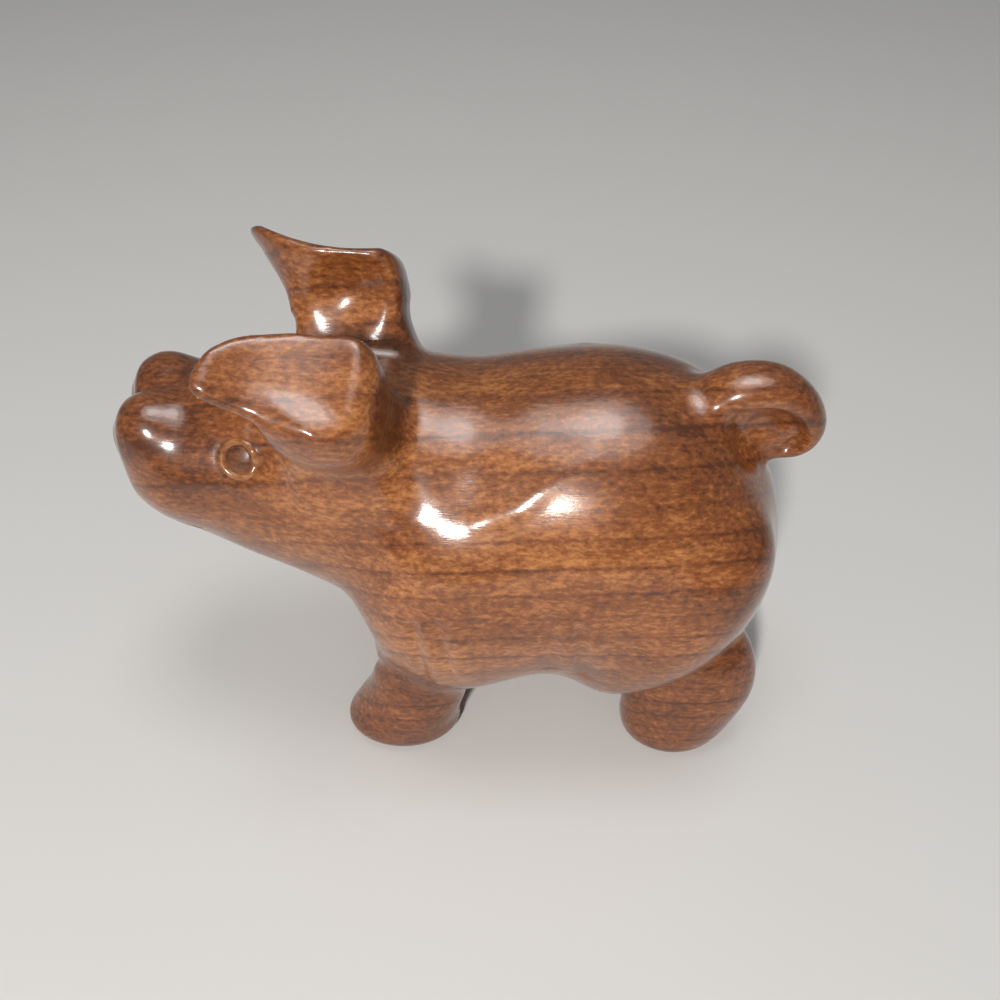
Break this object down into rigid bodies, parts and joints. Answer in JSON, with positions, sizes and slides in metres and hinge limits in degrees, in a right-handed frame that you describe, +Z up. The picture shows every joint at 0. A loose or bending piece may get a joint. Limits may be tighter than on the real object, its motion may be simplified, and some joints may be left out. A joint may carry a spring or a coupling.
{
  "type": "carved wooden pig figurine",
  "caption": "Glossy carved hardwood pig standing on short legs, with a cleft snout, folded pointed ears, inlaid ring eyes and a curled tail",
  "frame": {"origin": "middle of the bounding box's base, on the surface that the soles stand on", "axes": "-X is the way the pig faces and +X its tail, -Y its left side, +Z up"},
  "size_m": [0.1494, 0.0716, 0.1151],
  "materials": {
    "body_wood": "clear gloss lacquer over reddish-brown hardwood",
    "ring_wood": "clear gloss lacquer over paler hardwood",
    "pupil_wood": "clear gloss lacquer over dark hardwood"
  },
  "bodies": {
    "root": {"carved_body": "body_wood", "left_eye_ring": "ring_wood", "left_eye_pupil": "pupil_wood", "right_eye_ring": "ring_wood", "right_eye_pupil": "pupil_wood"}
  },
  "joints": []
}
